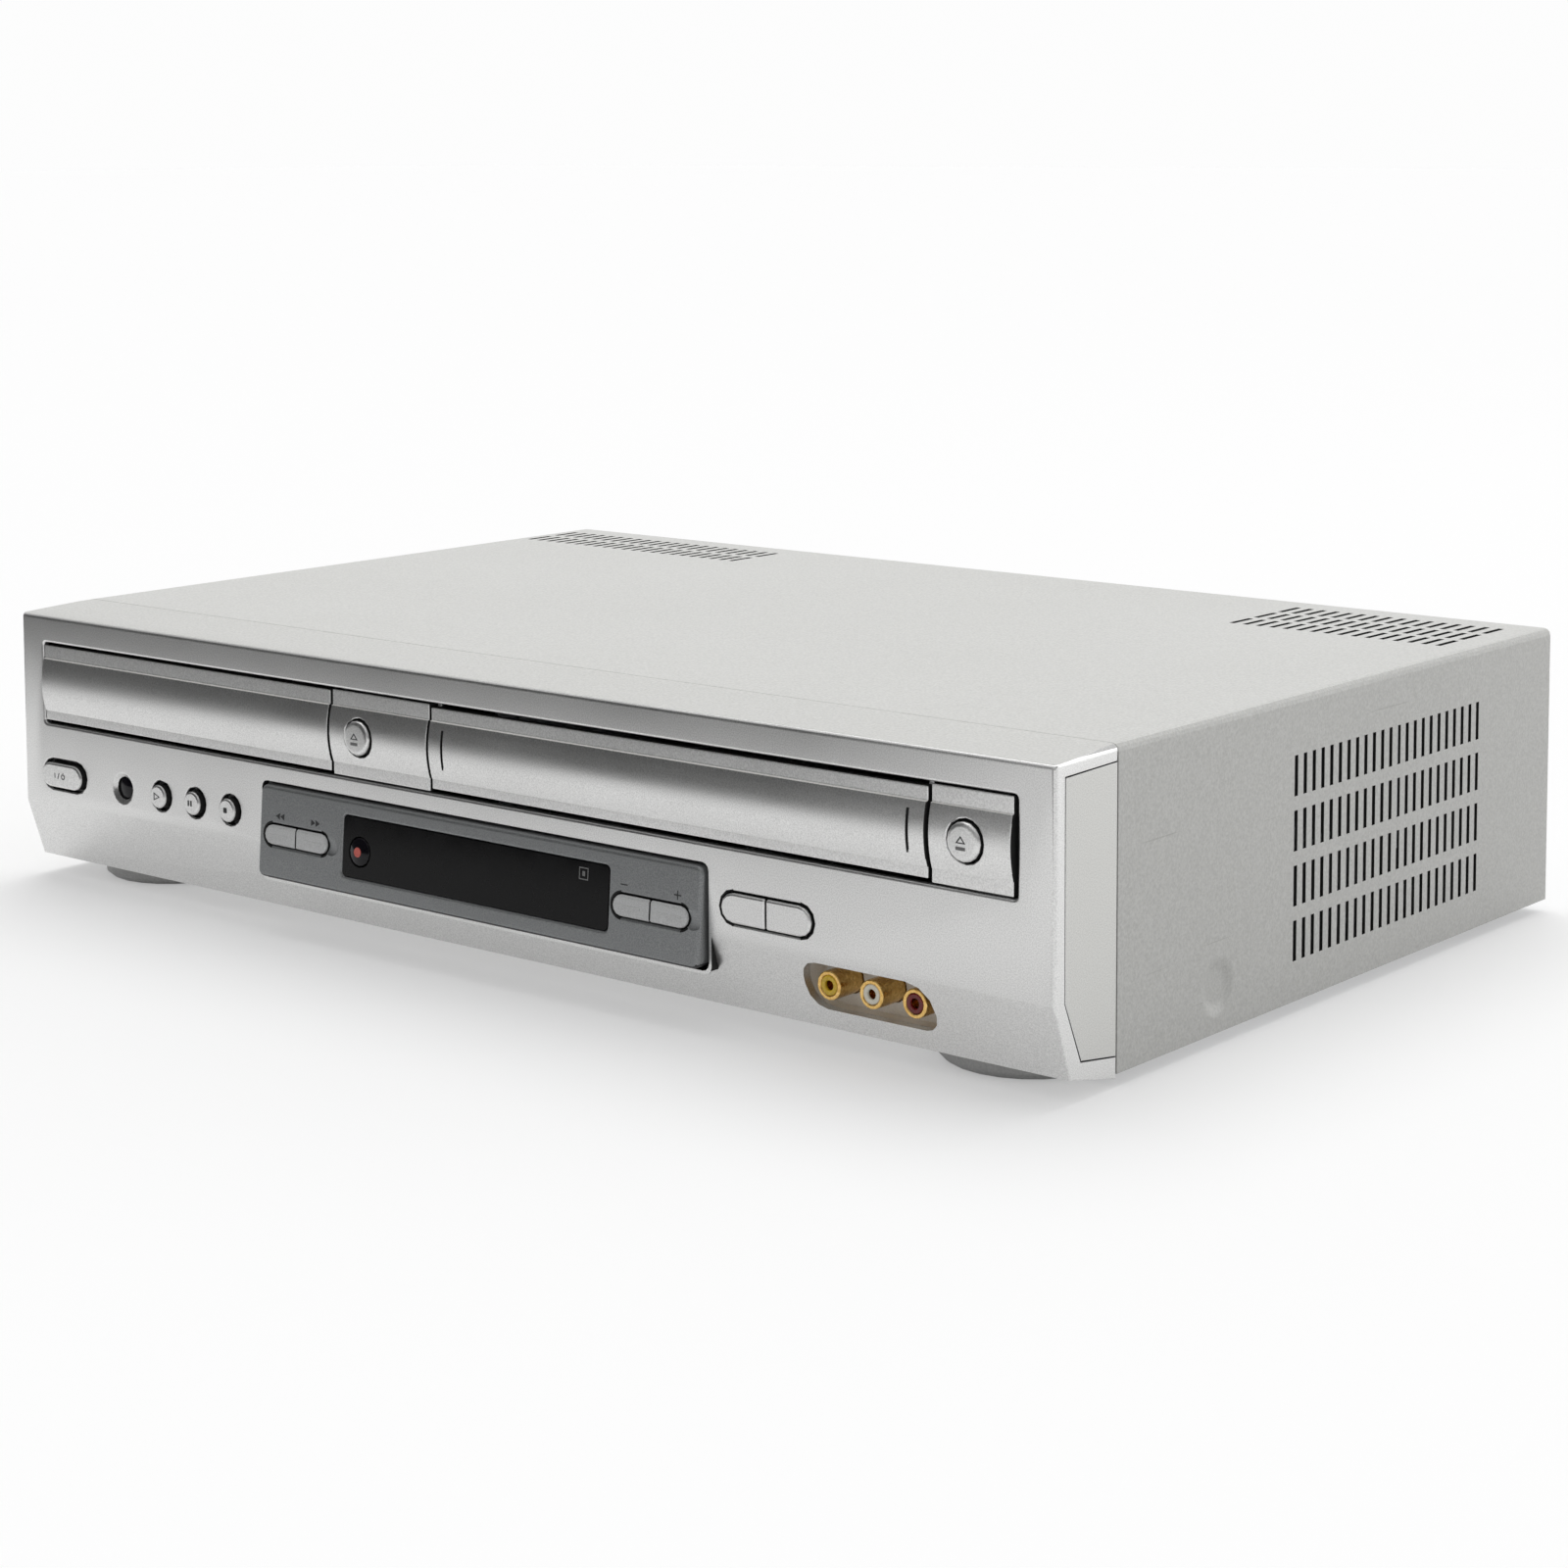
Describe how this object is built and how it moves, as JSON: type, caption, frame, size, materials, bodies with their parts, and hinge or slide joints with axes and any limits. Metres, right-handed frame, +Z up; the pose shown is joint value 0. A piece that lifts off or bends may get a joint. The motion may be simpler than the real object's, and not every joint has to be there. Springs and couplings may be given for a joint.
{
  "type": "dvd vcr combo player",
  "caption": "Low silver player for discs and video cassettes: a tray door and a cassette door side by side, a dark display panel, a jack recess, a slotted steel cover and round feet.",
  "frame": {"origin": "middle of the footprint, on the ground under the feet", "axes": "+X to the right seen from the front, +Y to the back (the front faces -Y), +Z up"},
  "size_m": [0.43, 0.2918, 0.0928],
  "materials": {
    "silver_plastic": "satin metallic silver paint on moulded plastic",
    "grey_plastic": "fine matt grey",
    "dark_window": "polished near-black window",
    "gloss_black": "glossy black",
    "bright_metal": "bright plated metal",
    "gold_metal": "gold plated",
    "circuit_board": "green lacquered board",
    "cover_paint": "light grey painted sheet steel",
    "steel_plate": "plain zinc coated sheet",
    "black_plastic": "matt black",
    "black_rubber": "matt rubber",
    "foot_plastic": "satin grey",
    "white_plastic": "natural white",
    "aluminium_drum": "polished aluminium"
  },
  "bodies": {
    "case": {"front_bezel": "silver_plastic", "disc_eject_trim": "silver_plastic", "tape_eject_trim": "silver_plastic", "display_panel": "grey_plastic", "display_window": "dark_window", "indicator_lens": "gloss_black", "jack_cup": "silver_plastic", "video_jack": "gold_metal", "left_audio_jack": "gold_metal", "right_audio_jack": "gold_metal", "front_board": "circuit_board", "top_cover": "cover_paint", "rear_panel": "steel_plate", "rear_av_block": "black_plastic", "rear_component_block": "black_plastic", "aerial_block": "steel_plate", "cord_gland": "black_rubber", "left_cover_screw": "steel_plate", "right_cover_screw": "steel_plate", "base_pan": "steel_plate", "front_left_foot": "foot_plastic", "front_right_foot": "foot_plastic", "rear_left_foot": "foot_plastic", "rear_right_foot": "foot_plastic", "main_board": "circuit_board", "power_board": "circuit_board", "loader_frame": "black_plastic", "tape_deck_chassis": "steel_plate", "drum_lower": "aluminium_drum"},
    "disc_tray": {"disc_tray": "black_plastic", "tray_door": "silver_plastic"},
    "tray_pinion": {"tray_pinion": "white_plastic"},
    "traverse": {"traverse": "steel_plate"},
    "spindle_hub": {"spindle_hub": "white_plastic"},
    "laser_sled": {"laser_sled": "black_plastic"},
    "disc_clamp": {"disc_clamp": "white_plastic"},
    "cassette_door": {"cassette_door": "silver_plastic"},
    "cassette_basket": {"cassette_basket": "steel_plate"},
    "drum_upper": {"drum_upper": "aluminium_drum"},
    "supply_reel": {"supply_reel": "black_plastic"},
    "takeup_reel": {"takeup_reel": "black_plastic"},
    "capstan": {"capstan_flywheel": "bright_metal"},
    "pinch_arm": {"pinch_arm": "steel_plate"},
    "pinch_roller": {"pinch_roller": "black_rubber"},
    "supply_guide": {"supply_guide": "bright_metal"},
    "takeup_guide": {"takeup_guide": "bright_metal"},
    "power_button": {"power_button": "silver_plastic"},
    "play_button": {"play_button": "silver_plastic"},
    "pause_button": {"pause_button": "silver_plastic"},
    "stop_button": {"stop_button": "silver_plastic"},
    "select_disc_button": {"select_disc_button": "silver_plastic"},
    "select_tape_button": {"select_tape_button": "silver_plastic"},
    "rewind_button": {"rewind_button": "grey_plastic"},
    "forward_button": {"forward_button": "grey_plastic"},
    "record_button": {"record_button": "gloss_black"},
    "channel_down_button": {"channel_down_button": "grey_plastic"},
    "channel_up_button": {"channel_up_button": "grey_plastic"},
    "disc_eject_button": {"disc_eject_button": "silver_plastic"},
    "tape_eject_button": {"tape_eject_button": "silver_plastic"}
  },
  "joints": [
    {"name": "tray_slide", "type": "slide", "parent": "case", "child": "disc_tray", "axis": [0, -1, 0], "range_m": [0, 0.135]},
    {"name": "pinion_spin", "type": "hinge", "parent": "case", "child": "tray_pinion", "pos_m": [-0.18, -0.1113, 0.058], "axis": [0, 0, 1], "continuous": true},
    {"name": "traverse_lift", "type": "hinge", "parent": "case", "child": "traverse", "pos_m": [-0.1314, 0.0077, 0.049], "axis": [-1, 0, 0], "range_deg": [0, 4.8]},
    {"name": "disc_spin", "type": "hinge", "parent": "traverse", "child": "spindle_hub", "pos_m": [-0.1314, -0.0703, 0.055], "axis": [0, 0, 1], "continuous": true},
    {"name": "sled_slide", "type": "slide", "parent": "traverse", "child": "laser_sled", "axis": [0, 1, 0], "range_m": [0, 0.034]},
    {"name": "clamp_spin", "type": "hinge", "parent": "case", "child": "disc_clamp", "pos_m": [-0.1314, -0.0703, 0.071], "axis": [0, 0, 1], "continuous": true},
    {"name": "cassette_door_swing", "type": "hinge", "parent": "case", "child": "cassette_door", "pos_m": [0.07946, -0.1379, 0.086], "axis": [1, 0, 0], "range_deg": [0, 90], "stiffness_Nm_per_rad": 0.01, "springref_deg": -14.32},
    {"name": "basket_drop", "type": "slide", "parent": "case", "child": "cassette_basket", "axis": [0, 0, -1], "range_m": [0, 0.029]},
    {"name": "drum_spin", "type": "hinge", "parent": "case", "child": "drum_upper", "pos_m": [0.07946, 0.0227, 0.018], "axis": [0.0872, 0, 0.9962], "continuous": true},
    {"name": "supply_reel_spin", "type": "hinge", "parent": "case", "child": "supply_reel", "pos_m": [0.03346, -0.0623, 0.022], "axis": [0, 0, 1], "continuous": true},
    {"name": "takeup_reel_spin", "type": "hinge", "parent": "case", "child": "takeup_reel", "pos_m": [0.12546, -0.0623, 0.022], "axis": [0, 0, 1], "continuous": true},
    {"name": "capstan_spin", "type": "hinge", "parent": "case", "child": "capstan", "pos_m": [0.13896, -0.0213, 0.012], "axis": [0, 0, 1], "continuous": true},
    {"name": "pinch_arm_swing", "type": "hinge", "parent": "case", "child": "pinch_arm", "pos_m": [0.16996, -0.0083, 0.018], "axis": [0, 0, 1], "range_deg": [0, 28], "stiffness_Nm_per_rad": 0.004},
    {"name": "pinch_roller_spin", "type": "hinge", "parent": "pinch_arm", "child": "pinch_roller", "pos_m": [0.14046, 0.0022, 0.031], "axis": [0, 0, 1], "continuous": true},
    {"name": "supply_guide_slide", "type": "slide", "parent": "case", "child": "supply_guide", "axis": [-0.2524, 0.9676, 0], "range_m": [0, 0.0475]},
    {"name": "takeup_guide_slide", "type": "slide", "parent": "case", "child": "takeup_guide", "axis": [0.2524, 0.9676, 0], "range_m": [0, 0.0475]},
    {"name": "power_press", "type": "slide", "parent": "case", "child": "power_button", "axis": [0, 1, 0], "range_m": [0, 0.0012], "stiffness_N_per_m": 300},
    {"name": "play_press", "type": "slide", "parent": "case", "child": "play_button", "axis": [0, 1, 0], "range_m": [0, 0.0012], "stiffness_N_per_m": 300},
    {"name": "pause_press", "type": "slide", "parent": "case", "child": "pause_button", "axis": [0, 1, 0], "range_m": [0, 0.0012], "stiffness_N_per_m": 300},
    {"name": "stop_press", "type": "slide", "parent": "case", "child": "stop_button", "axis": [0, 1, 0], "range_m": [0, 0.0012], "stiffness_N_per_m": 300},
    {"name": "select_disc_press", "type": "slide", "parent": "case", "child": "select_disc_button", "axis": [0, 1, 0], "range_m": [0, 0.0012], "stiffness_N_per_m": 300},
    {"name": "select_tape_press", "type": "slide", "parent": "case", "child": "select_tape_button", "axis": [0, 1, 0], "range_m": [0, 0.0012], "stiffness_N_per_m": 300},
    {"name": "rewind_press", "type": "slide", "parent": "case", "child": "rewind_button", "axis": [0, 1, 0], "range_m": [0, 0.0012], "stiffness_N_per_m": 300},
    {"name": "forward_press", "type": "slide", "parent": "case", "child": "forward_button", "axis": [0, 1, 0], "range_m": [0, 0.0012], "stiffness_N_per_m": 300},
    {"name": "record_press", "type": "slide", "parent": "case", "child": "record_button", "axis": [0, 1, 0], "range_m": [0, 0.0012], "stiffness_N_per_m": 300},
    {"name": "channel_down_press", "type": "slide", "parent": "case", "child": "channel_down_button", "axis": [0, 1, 0], "range_m": [0, 0.0012], "stiffness_N_per_m": 300},
    {"name": "channel_up_press", "type": "slide", "parent": "case", "child": "channel_up_button", "axis": [0, 1, 0], "range_m": [0, 0.0012], "stiffness_N_per_m": 300},
    {"name": "disc_eject_press", "type": "slide", "parent": "case", "child": "disc_eject_button", "axis": [0, 1, 0], "range_m": [0, 0.0012], "stiffness_N_per_m": 300},
    {"name": "tape_eject_press", "type": "slide", "parent": "case", "child": "tape_eject_button", "axis": [0, 1, 0], "range_m": [0, 0.0012], "stiffness_N_per_m": 300}
  ],
  "couplings": [
    {"joint": "pinion_spin", "follows": "tray_slide", "rad_per_m": 111.11},
    {"joint": "takeup_guide_slide", "follows": "supply_guide_slide", "ratio": 1}
  ]
}
